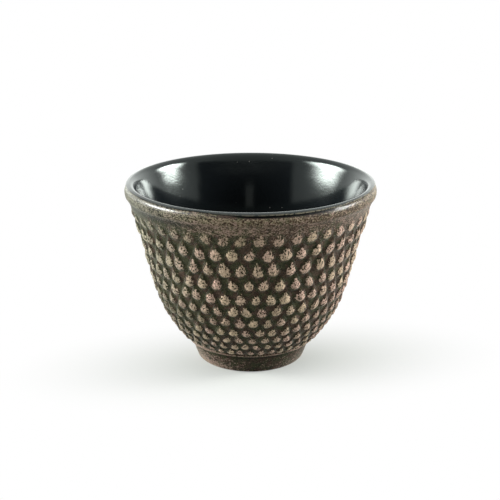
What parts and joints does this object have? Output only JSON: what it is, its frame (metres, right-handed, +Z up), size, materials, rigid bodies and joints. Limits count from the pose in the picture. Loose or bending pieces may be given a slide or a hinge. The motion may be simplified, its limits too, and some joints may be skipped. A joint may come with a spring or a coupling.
{
  "type": "cast iron tea cup",
  "caption": "Deep cast iron tea cup with a hobnailed outside, a plain collar under a bevelled lip, a glossy black enamel lining and a narrow hollow foot ring under a thin ridge; holds hot tea.",
  "frame": {"origin": "centre of the foot ring on the table", "axes": "+Z up along the axis of the cup, -Y towards the viewer of the picture"},
  "size_m": [0.0804, 0.0804, 0.0593],
  "materials": {
    "patinated_iron": "matte",
    "black_enamel": "gloss"
  },
  "bodies": {
    "root": {"iron_body": "patinated_iron", "enamel_lining": "black_enamel"}
  },
  "joints": []
}
